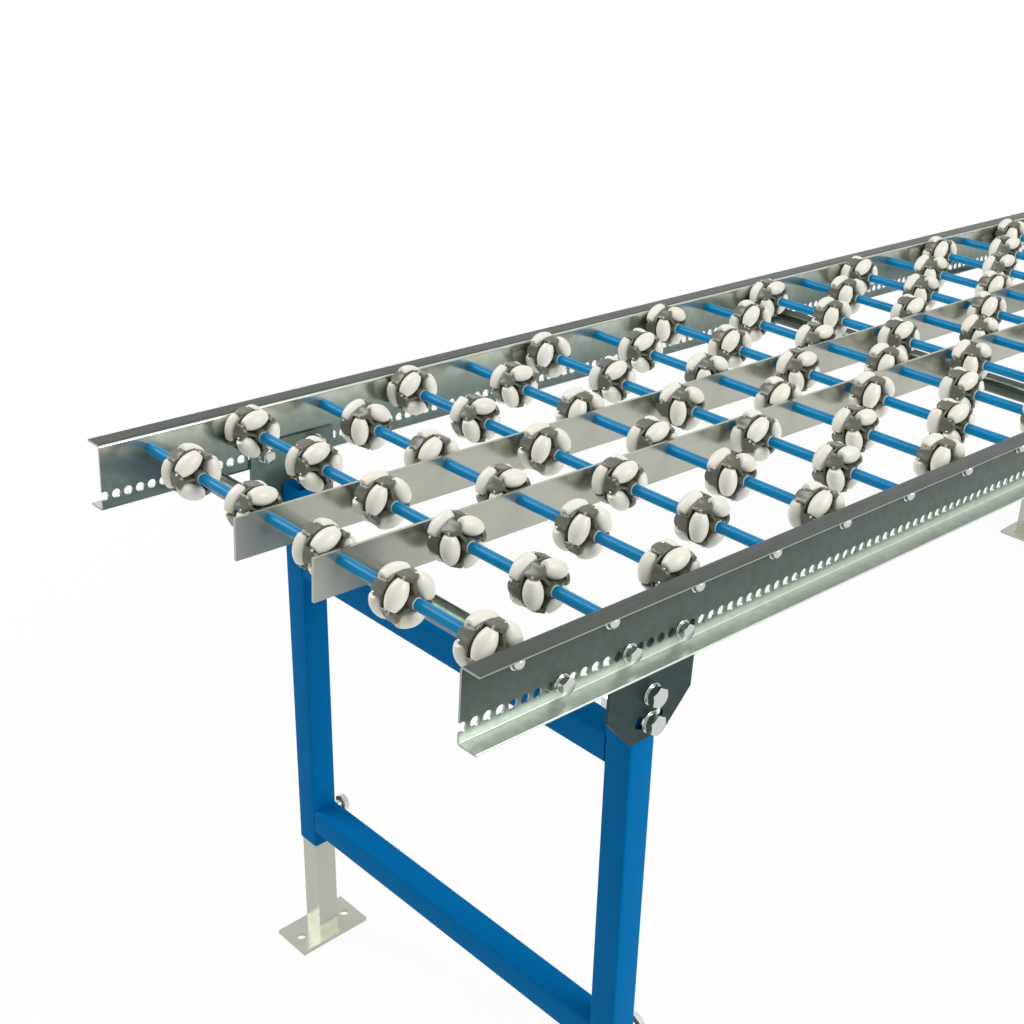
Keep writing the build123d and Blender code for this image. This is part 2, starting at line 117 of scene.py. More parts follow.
# How the wheels of the first two rows are turned in the photo, in degrees, as seen, and steps for the rest
TURNS = ((4, 4, 37, 66, 27), (-36, -36, -4, 42, 47))
ROW_TURN = 47
WHEEL_TURN = 71
RING_STEP = 120
WHEEL_RADIUS = 24.0
HUB_HALF_LENGTH = 18.5
BARREL_RADIUS = 8.6
BARREL_EDGE = 0.5
BARREL_HALF_LENGTH = 12.9
BARREL_AXIS = WHEEL_RADIUS - BARREL_RADIUS
BARREL_BORE_RADIUS = 1.7
RING_OFFSET = 9.5
RING_PHASE = 90.0
PIN_RADIUS = 1.5
PIN_HALF_LENGTH = 16.3

SPACER_RADIUS = 5.4
COLLAR_RADIUS = 5.5
COLLAR_LENGTH = 1.6
COLLAR_BORE = 4.1
AXLE_BORE = 4.05
RUNNING_GAP = 0.1
HUB_CORE_RADIUS = 6.2
BOSS_RADIUS = 6.9
BOSS_LENGTH = 4.0
DISC_RADIUS = 21.8
DISC_THICKNESS = 1.6
DISC_EDGE = 0.3
ARM_WIDTH = 2.4
ARM_FOOT = 4.5
EAR_RADIUS = 22.6
EAR_HALF_WIDTH = 7.4
EAR_REACH = 15.2
EAR_DIP = 1.3
EAR_SOFT = 1.8
ARM_TIP = EAR_RADIUS - 4
WINDOW = BARREL_HALF_LENGTH + 0.35

TIE_HOLES = (8, 80, 152)
BRACKET_HOLES = (14, 19)
PLATE_THICKNESS = 3.0
SLOT_RADIUS = 27.0
TUBE = 30.0
TUBE_WALL = 2.0
TUBE_CORNER = 3.0
UPRIGHT_FACE = WEB_INNER - PLATE_THICKNESS - 2.0
UPRIGHT_Y = UPRIGHT_FACE - TUBE / 2
UPRIGHT_TOP = 18.0
UPRIGHT_BOTTOM = -425.0
UPPER_BAR_TOP = -50.5
LOWER_BAR_TOP = -376.0
CLAMP_Z = -396.0
CLAMP_STAND_OFF = 17.0

SCREW_WASHER_RADIUS = 7.0
SCREW_RADIUS = 5.7
SCREW_RIM = 3.4
SCREW_RISE = 4.2
EDGE_BREAK = 0.4
FOLD_BREAK = 0.6
ROUND_STEPS = 32
SHANK_STEPS = 24
BARREL_STEPS = 40
FLANK_STEPS = 13
DISC_STEPS = 60
PIN_STEPS = 16
HEX_STEPS = 48
WASHER_BORE = 2.0
SPRING_HEIGHT_SHARE = 1.25
SPRING_RADIUS_SHARE = 0.8
BREAK_ANGLE = 40.0

# Input and output numbers of a colour mix node
MIX_SHARE = 0
MIX_FIRST = 6
MIX_SECOND = 7
MIX_RESULT = 2
STREAK_STRETCH = (0.06, 1.0, 1.0)
BAND_SHADE = "D8DCDA"


def linear(hex_colour: str) -> tuple[float, float, float, float]:
    """Turns an sRGB colour into the linear light that a shader takes.

    Args:
        hex_colour: Six hexadecimal digits, such as "AABBCC".

    Returns:
        Red, green, blue and an alpha of one.
    """
    parts = []
    for start in (0, 2, 4):
        value = int(hex_colour[start : start + 2], 16) / 255
        parts.append(value / 12.92 if value <= 0.04045 else ((value + 0.055) / 1.055) ** 2.4)
    return (parts[0], parts[1], parts[2], 1.0)


# Finishes


class Grain(Enum):
    """What a surface's pattern looks like."""

    MOTTLE = "mottle"
    STREAK = "streak"
    PEEL = "peel"
    FINE = "fine"


@dataclass(frozen=True)
class Finish:
    """One real surface: its colour, gloss and the pattern its making leaves.

    Attributes:
        name: The material's name.
        base: The colour over most of it.
        shade: The colour of its darker patches.
        metallic: One for bare metal, nought for paint and plastic.
        roughness: Mean roughness.
        roughness_spread: How far roughness moves with the pattern.
        grain: The kind of pattern.
        size_mm: The pattern's size.
        amount: How much of the darker colour the pattern brings, from nought to one.
        bump_mm: The height of the pattern's relief.
        bands: Colours by place in millimetres, which paint light and shade that fall by place, as on the
            rails and plates.
        specular: Specular IOR level, low where the white surroundings would wash out the colour.
        axis: The object's axis that the bands run along.
        span: Where the bands start and end on it.
    """

    name: str
    base: str
    shade: str
    metallic: float
    roughness: float
    roughness_spread: float
    grain: Grain
    size_mm: float
    amount: float
    bump_mm: float
    bands: tuple[tuple[float, str], ...] = ()
    specular: float = 0.5
    axis: str = "Z"
    span: tuple[float, float] = (0.0, RAIL_HEIGHT)


class Nodes:
    """Adds nodes to one material's or world's tree and joins them."""

    def __init__(self, tree: bpy.types.NodeTree) -> None:
        """Takes the tree to add to."""
        self.tree = tree

    def add(self, kind: str, operation: str = "", **values: object) -> bpy.types.Node:
        """Adds one node.

        Args:
            kind: Its type, without the leading ShaderNode.
            operation: What a math node does.
            values: Input values by socket name, with underscores for spaces.

        Returns:
            The node.
        """
        node = self.tree.nodes.new("ShaderNode" + kind)
        if operation:
            node.operation = operation
        for name, value in values.items():
            node.inputs[name.replace("_", " ")].default_value = value
        return node

    def link(self, source: bpy.types.NodeSocket, target: bpy.types.NodeSocket) -> None:
        """Joins two sockets."""
        self.tree.links.new(source, target)


class Finishes:
    """Builds each finish once and hands out its material."""

    # Hot-dip galvanised sheet: dull grey-green zinc, with painted light low down: the lower flange paler as
    # lit from above, and the lower web paler with a painted reflection of it
    _WEB = ((0, "D8DFD5"), (7, "C6CFC5"), (12, "7F8B82"), (19, "58645D"), (45, "4B5650"), (66, "3C4A42"))
    RAIL = Finish(
        "hot_dip_galvanised_sheet", "56605C", "4B5551", 0.6, 0.34, 0.08, Grain.MOTTLE, 9, 0.5, 0.003, _WEB
    )
    # The rails' inner faces: the same dip, paler towards the top with a painted highlight along the top bend,
    # fading down the web
    _INNER = ((0, "64726F"), (25, "78877F"), (45, "939D93"), (58, "BCC2B5"), (66, "CDD2C6"))
    RAIL_INSIDE = Finish(
        "hot_dip_galvanised_inner_face", "62716F", "55625F", 0.85, 0.19, 0.06, Grain.MOTTLE, 14, 0.5, 0.004,
        _INNER,
    )
    # Lower flange: bright zinc with cloudy grey-green patches, painted paler still as painted light, the
    # flange being lit from above
    RAIL_LOWER = Finish(
        "bright_zinc_painted_light", "E6EBE2", "BEC8BE", 0.55, 0.1, 0.05, Grain.MOTTLE, 11, 0.5, 0.004
    )
    # Upper flange: thin dark zinc, wiped as the sheet was lifted out
    RAIL_UPPER = Finish("wiped_dark_zinc", "414942", "363E38", 0.4, 0.38, 0.08, Grain.STREAK, 5, 0.6, 0.003)
    # Sheared edges of the sheet: bare, bright and slightly rounded, their light grey partly a painted
    # highlight for the lit lips and hole walls
    RAIL_EDGE = Finish("sheared_bright_edge", "A9B0A4", "8B9388", 0.6, 0.35, 0.05, Grain.FINE, 1, 0.3, 0.0)
    # Galvanised flat bar: paler, with rolling streaks along its length
    BAR = Finish("galvanised_rolled_bar", "B6B8AC", "A9AB9E", 0.8, 0.24, 0.02, Grain.STREAK, 2.2, 0.3, 0.0)
    # Bright zinc plate on bolts: near white and smooth
    ZINC = Finish("bright_zinc_plated_steel", "D4D8D4", "A8AEAA", 1.0, 0.22, 0.08, Grain.FINE, 1, 0.4, 0.003)
    # Zinc-dipped sheet plate, darker than the rails and with a faint sheen, with painted shade and light
    # across the bed: the near plates dark, the far plates paler where the lamp falls on them
    _PLATE = ((-250, "2F4141"), (-200, "2F4141"), (200, "64756E"), (250, "6C7D75"))
    PLATE = Finish(
        "dull_dipped_sheet_plate", "2C3E3E", "223232", 0.5, 0.34, 0.1, Grain.MOTTLE, 12, 0.5, 0.003,
        _PLATE, specular=0.2, axis="Y", span=(-250.0, 250.0),
    )
    # Powder coat: even deep blue with the slight ripple of baked powder
    POWDER = Finish(
        "baked_powder_coat_blue", "006CAB", "0065A1", 0.0, 0.5, 0.05, Grain.PEEL, 1.6, 0.4, 0.01,
        specular=0.02,
    )
    # Extruded plastic tube: saturated blue, glossy along its length
    SPACER = Finish(
        "extruded_gloss_blue_plastic", "0084BA", "007EB2", 0.0, 0.18, 0.03, Grain.STREAK, 2, 0.2, 0.0,
        specular=0.14,
    )
    # Moulded nylon barrels: warm white, silky
    BARREL = Finish("moulded_white_nylon", "F0ECE0", "EBE7DA", 0.0, 0.34, 0.05, Grain.FINE, 2, 0.3, 0.0)
    # Moulded dark grey hub: glass-filled nylon, satin with fine grain
    HUB = Finish("moulded_grey_filled_nylon", "626458", "595A4E", 0.0, 0.26, 0.06, Grain.FINE, 1, 0.3, 0.0)
    # Drawn steel rod of the axles
    STEEL = Finish("bright_drawn_steel", "D8D4C8", "B4B0A4", 1.0, 0.28, 0.08, Grain.FINE, 1, 0.3, 0.0)
    # The barrels' pins: greyer and duller than the rod, as their cut ends are
    PIN = Finish("sawn_steel_pin", "A8A496", "8E8A7C", 1.0, 0.36, 0.08, Grain.FINE, 1, 0.4, 0.0)
    # Folded strip, dipped thin: dark, with its bends showing as bright lines
    TIE = Finish("dipped_folded_strip", "4E594D", "404A3E", 0.65, 0.24, 0.08, Grain.MOTTLE, 10, 0.5, 0.002)
    # Thin moulded washer, plain white
    COLLAR = Finish("moulded_white_washer", "EEF0EC", "DFE2DE", 0.0, 0.4, 0.05, Grain.FINE, 1, 0.3, 0.0)

    def __init__(self) -> None:
        """Starts with nothing built."""
        self._made: dict[str, bpy.types.Material] = {}

    def get(self, finish: Finish) -> bpy.types.Material:
        """Gives the material of a finish.

        Args:
            finish: What the surface is.

        Returns:
            The material, made on the first call.
        """
        if finish.name not in self._made:
            self._made[finish.name] = self._build(finish)
        return self._made[finish.name]

    @staticmethod
    def _build(finish: Finish) -> bpy.types.Material:
        """Builds the node tree of a finish.

        Args:
            finish: What the surface is.

        Returns:
            The new material.
        """
        material = bpy.data.materials.new(finish.name)
        material.use_nodes = True
        nodes = Nodes(material.node_tree)
        add, link = nodes.add, nodes.link
        shader = nodes.tree.nodes["Principled BSDF"]
        place = add("TexCoord")
        stretch = STREAK_STRETCH if finish.grain is Grain.STREAK else (1.0, 1.0, 1.0)
        mapping = add("Mapping", Scale=stretch)
        link(place.outputs["Object"], mapping.inputs["Vector"])
        noise = add("TexNoise", Scale=1000 / finish.size_mm, Detail=4.0, Roughness=0.6)
        link(mapping.outputs["Vector"], noise.inputs["Vector"])
        pattern = add("MapRange", From_Min=0.35, From_Max=0.65)
        link(noise.outputs["Fac"], pattern.inputs["Value"])
        colour = add("Mix")
        colour.data_type = "RGBA"
        colour.inputs[MIX_FIRST].default_value = linear(finish.base)
        colour.inputs[MIX_SECOND].default_value = linear(finish.shade)
        # Bands paint light and shade into the colour by place along one axis
        if finish.bands:
            height = add("SeparateXYZ")
            link(place.outputs["Object"], height.inputs["Vector"])
            start, end = finish.span
            share = add("MapRange", From_Min=start * MM, From_Max=end * MM)
            link(height.outputs[finish.axis], share.inputs["Value"])
            ramp = add("ValToRGB")
            stops = ramp.color_ramp.elements
            for number, (level, hex_colour) in enumerate(finish.bands):
                stop = stops[number] if number < 2 else stops.new(1.0)
                stop.position = (level - start) / (end - start)
                stop.color = linear(hex_colour)
            link(share.outputs["Result"], ramp.inputs["Fac"])
            link(ramp.outputs["Color"], colour.inputs[MIX_FIRST])
            colour.blend_type = "MULTIPLY"
            colour.inputs[MIX_SECOND].default_value = linear(BAND_SHADE)
        weight = add("Math", "MULTIPLY")
        weight.inputs[1].default_value = finish.amount
        link(pattern.outputs["Result"], weight.inputs[0])
        link(weight.outputs["Value"], colour.inputs[MIX_SHARE])
        link(colour.outputs[MIX_RESULT], shader.inputs["Base Color"])
        half = finish.roughness_spread / 2
        gloss = add("MapRange", To_Min=finish.roughness - half, To_Max=finish.roughness + half)
        link(pattern.outputs["Result"], gloss.inputs["Value"])
        link(gloss.outputs["Result"], shader.inputs["Roughness"])
        shader.inputs["Metallic"].default_value = finish.metallic
        shader.inputs["Specular IOR Level"].default_value = finish.specular
        if finish.bump_mm:
            bump = add("Bump", Strength=0.6, Distance=finish.bump_mm * MM)
            link(noise.outputs["Fac"], bump.inputs["Height"])
            link(bump.outputs["Normal"], shader.inputs["Normal"])
        return material


# Mesh making


@dataclass
class Shape:
    """Faces gathered in millimetres before they become one mesh.

    Attributes:
        points: The corners.
        faces: Corner numbers of each face.
        slots: The material number of each face.
    """

    points: list[Vector] = field(default_factory=list)
    faces: list[tuple[int, ...]] = field(default_factory=list)
    slots: list[int] = field(default_factory=list)

    def add(self, other: "Shape", at: Matrix | None = None, slot: int | None = None) -> "Shape":
        """Adds another shape's faces to this one.

        Args:
            other: The shape to add.
            at: Where it goes, or None for as it is.
            slot: A material number for all of it, or None for its own.

        Returns:
            This shape.
        """
        start = len(self.points)
        self.points += [at @ p if at else p for p in other.points]
        self.faces += [tuple(start + i for i in face) for face in other.faces]
        self.slots += [s if slot is None else slot for s in other.slots]
        return self

    def face(self, *corners: int, slot: int = 0) -> None:
        """Adds one face by its corner numbers."""
        self.faces.append(tuple(corners))
        self.slots.append(slot)

    def mesh(self, name: str, materials: Sequence[bpy.types.Material], smooth: float) -> bpy.types.Mesh:
        """Makes the mesh, in metres.

        Args:
            name: The mesh's name.
            materials: One for each slot number.
            smooth: Edges flatter than this angle, in degrees, are shaded smooth.

        Returns:
            The mesh.
        """
        mesh = bpy.data.meshes.new(name)
        mesh.from_pydata([tuple(p * MM) for p in self.points], [], self.faces)
        for material in materials:
            mesh.materials.append(material)
        mesh.polygons.foreach_set("material_index", self.slots)
        mesh.update()
        mesh.polygons.foreach_set("use_smooth", [True] * len(mesh.polygons))
        mesh.set_sharp_from_angle(angle=radians(smooth))
        return mesh


def circle(radius: float, steps: int) -> Outline:
    """Gives the points of a circle, counter-clockwise.

    Args:
        radius: Its radius.
        steps: How many points.

    Returns:
        The points.
    """
    angles = [2 * pi * i / steps for i in range(steps)]
    return [(radius * cos(a), radius * sin(a)) for a in angles]


def rounded_square(size: float, corner: float, steps: int = 5) -> Outline:
    """Gives the outline of a square with round corners, counter-clockwise.

    Args:
        size: Its width.
        corner: The corners' radius.
        steps: Points to a corner.

    Returns:
        The points.
    """
    points = []
    inset = size / 2 - corner
    for quarter in range(4):
        middle = radians(45 + 90 * quarter)
        cx = inset * (1 if cos(middle) > 0 else -1)
        cy = inset * (1 if sin(middle) > 0 else -1)
        for i in range(steps):
            a = radians(90 * quarter + 90 * i / (steps - 1))
            points.append((cx + corner * cos(a), cy + corner * sin(a)))
    return points


def mirrored(profile: Outline) -> Outline:
    """Gives a profile's other half.

    Args:
        profile: Points of (radius, z), all below z of nought.

    Returns:
        The points above it, in the order that carries on.
    """
    return [(radius, -z) for radius, z in reversed(profile)]


def prism(outline: Outline, start: float, end: float) -> Shape:
    """Extrudes an outline in x and y along z, closed at both ends.

    Args:
        outline: The points, counter-clockwise.
        start: The lower z.
        end: The upper z.

    Returns:
        The solid.
    """
    n = len(outline)
    made = Shape([Vector((x, y, z)) for z in (start, end) for x, y in outline])
    for i in range(n):
        j = (i + 1) % n
        made.face(i, j, n + j, n + i)
    made.face(*reversed(range(n)))
    made.face(*range(n, 2 * n))
    return made


def hollow_prism(outer: Outline, inner: Outline, start: float, end: float) -> Shape:
    """Extrudes the ring between two outlines of as many points along z.

    Args:
        outer: The outer points, counter-clockwise.
        inner: The inner points, counter-clockwise.
        start: The lower z.
        end: The upper z.

    Returns:
        The tube.
    """
    n = len(outer)
    made = Shape([Vector((x, y, z)) for ring in (outer, inner) for z in (start, end) for x, y in ring])
    for i in range(n):
        j = (i + 1) % n
        made.face(i, j, n + j, n + i)
        made.face(2 * n + j, 2 * n + i, 3 * n + i, 3 * n + j)
        made.face(i, 2 * n + i, 2 * n + j, j)
        made.face(n + i, n + j, 3 * n + j, 3 * n + i)
    return made


def lathe(profile: Outline, steps: int, closed: bool = False) -> Shape:
    """Turns a profile of (radius, z) points round the z axis.

    Args:
        profile: The points, from the bottom up the outside.
        steps: How many points round.
        closed: Whether the last point joins the first.

    Returns:
        The turned form. A point of no radius closes it.
    """
    made = Shape()
    rings = []
    for radius, z in profile:
        if radius < 1e-6:
            rings.append([len(made.points)] * steps)
            made.points.append(Vector((0, 0, z)))
            continue
        rings.append(list(range(len(made.points), len(made.points) + steps)))
        made.points += [Vector((x, y, z)) for x, y in circle(radius, steps)]
    pairs = list(zip(rings, rings[1:] + rings[:1]))
    for low, high in pairs if closed else pairs[:-1]:
        for i in range(steps):
            j = (i + 1) % steps
            corners = [low[i], low[j], high[j], high[i]]
            made.face(*dict.fromkeys(corners))
    return made


def arc(radius: float, centre: tuple[float, float], start: float, end: float, steps: int) -> Outline:
    """Gives points along an arc.

    Args:
        radius: Its radius.
        centre: Its centre.
        start: First angle in degrees.
        end: Last angle in degrees.
        steps: How many points.

    Returns:
        The points, both ends among them.
    """
    angles = [radians(start + (end - start) * i / (steps - 1)) for i in range(steps)]
    return [(centre[0] + radius * cos(a), centre[1] + radius * sin(a)) for a in angles]


def washer(outer: float, inner: float, height: float) -> Shape:
    """A flat washer with slightly broken edges, from z of nought up.

    Args:
        outer: Outer radius.
        inner: Inner radius.
        height: Thickness.

    Returns:
        The washer.
    """
    edge = min(0.25, height / 4)
    profile = [(inner, 0), (outer - edge, 0), (outer, edge), (outer, height - edge), (outer - edge, height)]
    return lathe(profile + [(inner, height)], BARREL_STEPS, closed=True)


def hex_head(flats: float, height: float, base: float = 0.0) -> Shape:
    """A hexagonal head whose top is turned down to a cone, as real ones are.

    Args:
        flats: Width across flats.
        height: Its height.
        base: The z it stands on.

    Returns:
        The head, closed above and open below.
    """
    steps = HEX_STEPS
    made = Shape()
    crown = flats / 2 * 0.96
    rings: list[list[Vector]] = [[], [], []]
    for i in range(steps):
        a = 2 * pi * i / steps
        sector = (a + pi / 6) % (pi / 3) - pi / 6
        radius = flats / 2 / cos(sector)
        drop = (radius - crown) * tan(radians(30))
        rings[0].append(Vector((radius * cos(a), radius * sin(a), base)))
        rings[1].append(Vector((radius * cos(a), radius * sin(a), base + height - drop)))
        rings[2].append(Vector((crown * cos(a), crown * sin(a), base + height)))
    for ring in rings:
        made.points += ring
    for level in range(2):
        for i in range(steps):
            j = (i + 1) % steps
            made.face(level * steps + i, level * steps + j, (level + 1) * steps + j, (level + 1) * steps + i)
    made.face(*range(2 * steps, 3 * steps))
    return made


# Places


@dataclass(frozen=True)
class Bed:
    """The bed's own frame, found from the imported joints.

    Attributes:
        matrix: From bed millimetres to world metres, for placing objects.
    """

    matrix: Matrix

    @staticmethod
    def from_joints(joints: Iterable[dict]) -> "Bed":
        """Finds the frame from the axles of the second and last rows.

        Args:
            joints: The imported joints.

        Returns:
            The bed's frame.
        """
        at = {j["name"]: Vector(j["pos_m"]) for j in joints if "pos_m" in j}
        first, last = at["row_2_spin"], at[f"row_{ROWS}_spin"]
        along = (last - first).normalized()
        across = Vector((0, 1, 0))
        up = along.cross(across)
        turn = Matrix((along, across, up)).transposed().to_4x4()
        origin = first - (along * (FIRST_ROW_X + ROW_PITCH) + up * AXLE_Z) * MM
        return Bed(Matrix.Translation(origin) @ turn)

    def at(self, x: float, y: float, z: float) -> Matrix:
        """Gives the matrix of a place on the bed.

        Args:
            x: Along the rails, in millimetres.
            y: Across, from the middle.
            z: Up from the rails' underside.

        Returns:
            World matrix, square to the bed.
        """
        return self.matrix @ Matrix.Translation(Vector((x, y, z)) * MM)

    def wheel(self, row: int, y: float) -> Matrix:
        """Gives a wheel's place, with its own z along the axle.

        Args:
            row: Row number from nought.
            y: The wheel's middle.

        Returns:
            World matrix.
        """
        return self.at(row_x(row), y, AXLE_Z) @ Matrix.Rotation(-pi / 2, 4, "X")


def facing(direction: Vector) -> Matrix:
    """Gives a turn that lays z along a direction.

    Args:
        direction: Where z goes.

    Returns:
        The rotation.
    """
    return direction.to_track_quat("Z", "Y").to_matrix().to_4x4()


def seat(x: float, y: float, z: float, way: float) -> Matrix:
    """Gives a place whose own z points across the bed.

    Args:
        x: Along the rails, in millimetres.
        y: Across, from the middle.
        z: Up.
        way: One for towards the far rail, minus one for towards the near one.

    Returns:
        The matrix, in millimetres.
    """
    return Matrix.Translation((x, y, z)) @ facing(Vector((0, way, 0)))


def row_x(row: int) -> float:
    """Gives the x of a row's axle.

    Args:
        row: Row number from nought.

    Returns:
        Its x in millimetres.
    """
    return FIRST_ROW_X + row * ROW_PITCH


def wheel_ys(row: int) -> list[float]:
    """Gives the wheels' middles along a row's axle.

    Args:
        row: Row number from nought.

    Returns:
        Their y in millimetres.
    """
    first = ODD_ROW_FIRST_Y if row % 2 == 0 else EVEN_ROW_FIRST_Y
    return [first + i * WHEEL_PITCH for i in range(WHEELS_PER_ROW)]


@dataclass
class Studio:
    """What every builder needs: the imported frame, the finishes and the bed's place.

    Attributes:
        finishes: The materials.
        bed: The bed's frame.
    """

    frame: dict
    finishes: Finishes
    bed: Bed

    def mesh(
        self, name: str, shape: Shape, finishes: Sequence[Finish], smooth: float = SMOOTH
    ) -> bpy.types.Mesh:
        """Makes a mesh with its materials.

        Args:
            name: The mesh's name.
            shape: Its faces, in millimetres.
            finishes: One for each slot number.
            smooth: Edges flatter than this angle, in degrees, are shaded smooth.

        Returns:
            The mesh, in metres.
        """
        return shape.mesh(name, [self.finishes.get(finish) for finish in finishes], smooth)

    def piece(
        self, name: str, mesh: bpy.types.Mesh, body: str, at: Matrix, replaces: Sequence[str] = ()
    ) -> None:
        """Sets a mesh in the scene, riding a body.

        Args:
            name: The piece's name.
            mesh: Its mesh, in metres.
            body: The CAD body it moves with.
            at: Its place in the world.
            replaces: CAD nodes that it stands for.
        """
        made = bpy.data.objects.new(name, mesh)
        bpy.context.scene.collection.objects.link(made)
        made.matrix_world = at
        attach(made, body)
        if replaces:
            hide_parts(*replaces)
        LOG.info("built %s", name)

    def on_bed(self, name: str, shape: Shape, finish: Finish, replaces: Sequence[str] = ()) -> None:
        """Sets a shape of one finish on the bed.

        Args:
            name: The piece's name.
            shape: Its faces, in the bed's millimetres.
            finish: Its finish.
            replaces: CAD nodes that it stands for.
        """
        self.piece(name, self.mesh(f"{name}_mesh", shape, [finish]), "bed", self.bed.matrix, replaces)

    def on_stand(self, end: End, name: str, shape: Shape, finish: Finish, replaces: str) -> None:
        """Sets a shape of one finish on a stand.

        Args:
            end: Which stand.
            name: The piece's name, without the stand's.
            shape: Its faces, in millimetres from the middle of the pivot line.
            finish: Its finish.
            replaces: The CAD node that it stands for, without the stand's name.
        """
        joint = next(j for j in self.frame["joints"] if j["name"] == f"{end.value}_stand_swing")
        at = Matrix.Translation(Vector(joint["pos_m"]))
        full = f"{end.value}_{name}"
        mesh = self.mesh(f"{full}_mesh", shape, [finish])
        self.piece(full, mesh, f"{end.value}_stand", at, [f"{end.value}_{replaces}"])

    def dress(self, node: str, finish: Finish, bevel_mm: float = 0.0) -> None:
        """Gives a CAD node its finish and, where asked, softened edges.

        Args:
            node: The node's name.
            finish: Its finish.
            bevel_mm: Width of the broken edge.
        """
        made = self.frame["nodes"][node]
        made.data.materials.clear()
        made.data.materials.append(self.finishes.get(finish))
        if bevel_mm:
            bevel = made.modifiers.new("broken_edge", "BEVEL")
            bevel.width = bevel_mm * MM
            bevel.segments = 2
            bevel.limit_method = "ANGLE"
            bevel.angle_limit = radians(BREAK_ANGLE)
            bevel.harden_normals = True
        LOG.info("dressed %s", node)


# Sub-assemblies


@dataclass
class Assembly:
    """A group of pieces built on what all of them share.

    Attributes:
        studio: The shared frame, finishes and bed.
    """

    studio: Studio


class Face(IntEnum):
    """The material numbers of a rail's faces."""

    WEB = 0
    INSIDE = 1
    LOWER = 2
    UPPER = 3
    EDGE = 4


@dataclass
class Rail(Assembly):
    """One side rail with its full punched row.

    Attributes:
        side: Which rail it is.
    """

    side: Side

    def build(self) -> None:
        """Builds the rail."""
        looks = [Finishes.RAIL, Finishes.RAIL_INSIDE, Finishes.RAIL_LOWER]
        looks += [Finishes.RAIL_UPPER, Finishes.RAIL_EDGE]
        shape = self._profile().add(self._punched_band())
        node = f"side_rail_{self.side.name.lower()}"
        mesh = self.studio.mesh(f"{node}_mesh", shape, looks, RAIL_SMOOTH)
        self.studio.piece(f"{node}_punched", mesh, "bed", self.studio.bed.matrix, [node])

    def _point(self, x: float, y: float, z: float) -> Vector:
        """Mirrors a point of the far rail for the near one."""
        return Vector((x, self.side.value * y, z))

    def _section(self) -> list[Outline]:
        """The C profile for a rail on the +Y side, as its outer line and its inner line.

        Returns:
            The line on the bed's side and the line on the open side, from the bottom lip to the top lip.
        """
        outer_radius = BEND_RADIUS + SHEET
        y0, y1 = WEB_INNER, WEB_OUTER + FLANGE
        bed_side = [(y1 - LIP, 0.0)]
        bed_side += arc(outer_radius, (y0 + outer_radius, outer_radius), 270, 180, 8)
        bed_side += arc(outer_radius, (y0 + outer_radius, RAIL_HEIGHT - outer_radius), 180, 90, 8)
        bed_side += [(y1 - LIP, RAIL_HEIGHT), (y1, RAIL_HEIGHT - LIP)]
        inner = y0 + SHEET + BEND_RADIUS
        open_side = [(y1, LIP), (y1, SHEET - LIP), (y1 - LIP, SHEET)]
        open_side += arc(BEND_RADIUS, (inner, SHEET + BEND_RADIUS), 270, 180, 6)
        open_side += arc(BEND_RADIUS, (inner, RAIL_HEIGHT - SHEET - BEND_RADIUS), 180, 90, 6)
        open_side += [(y1 - LIP, RAIL_HEIGHT - SHEET), (y1, RAIL_HEIGHT - SHEET + LIP)]
        return [bed_side, open_side]

    def _profile(self) -> Shape:
        """The rail but for the band that is punched."""
        cuts = (HOLE_Z - HALF_PITCH, HOLE_Z + HALF_PITCH)
        made = Shape()
        lines = self._section()
        for number, line in enumerate(lines):
            dense: Outline = []
            for start, end in zip(line, line[1:]):
                dense.append(start)
                if start[0] == end[0] and start[1] < cuts[0] and end[1] > cuts[1]:
                    dense += [(start[0], cuts[0]), (start[0], cuts[1])]
            dense.append(line[-1])
            lines[number] = dense
        for line, turned in zip(lines, (False, True)):
            start = len(made.points)
            for x in (0.0, BED_LENGTH):
                made.points += [self._point(x, y, z) for y, z in line]
            n = len(line)
            for i in range(n - 1):
                if line[i][1] == cuts[0] and line[i + 1][1] == cuts[1]:
                    continue
                corners = [start + i, start + i + 1, start + n + i + 1, start + n + i]
                slot = self._slot_at((line[i][1] + line[i + 1][1]) / 2, not turned)
                far = self.side is Side.FAR
                made.face(*(corners if turned == far else reversed(corners)), slot=slot)
        counts = [len(line) for line in lines]
        first_open = 2 * counts[0]
        joins = [(0, first_open), (counts[0] - 1, first_open + counts[1] - 1)]
        for bed_corner, open_corner in joins:
            corners = [bed_corner, open_corner, open_corner + counts[1], bed_corner + counts[0]]
            made.face(*corners, slot=Face.EDGE)
        self._caps(made, lines)
        return made

    def _caps(self, made: Shape, lines: list[Outline]) -> None:
        """The sheared end faces, above and below the hole that each end cuts through.

        Args:
            made: The shape to add to.
            lines: The section's two lines.
        """
        half_open = sqrt(HOLE_RADIUS**2 - FIRST_HOLE**2)
        parts = ((0.0, HOLE_Z, HOLE_Z - half_open), (HOLE_Z, RAIL_HEIGHT, HOLE_Z + half_open))
        for x in (0.0, BED_LENGTH):
            for low, high, edge in parts:
                loop: Outline = []
                for line, web in zip(lines, (WEB_INNER, WEB_OUTER)):
                    part = [p for p in line if low <= p[1] <= high]
                    part.insert(len(part) if high == HOLE_Z else 0, (web, edge))
                    loop += part if line is lines[0] else part[::-1]
                start = len(made.points)
                made.points += [self._point(x, y, z) for y, z in loop]
                made.face(*range(start, start + len(loop)), slot=Face.EDGE)

    @staticmethod
    def _slot_at(height: float, inside: bool) -> Face:
        """Which finish the rail has at a height.

        Args:
            height: Height above the rail's underside.
            inside: Whether the face looks towards the bed.

        Returns:
            The material's number.
        """
        seen = FLANGE_SEEN if inside else (SHEET + BEND_RADIUS) / 2
        if height > RAIL_HEIGHT - seen:
            return Face.UPPER
        if height < seen:
            return Face.LOWER
        return Face.INSIDE if inside else Face.WEB

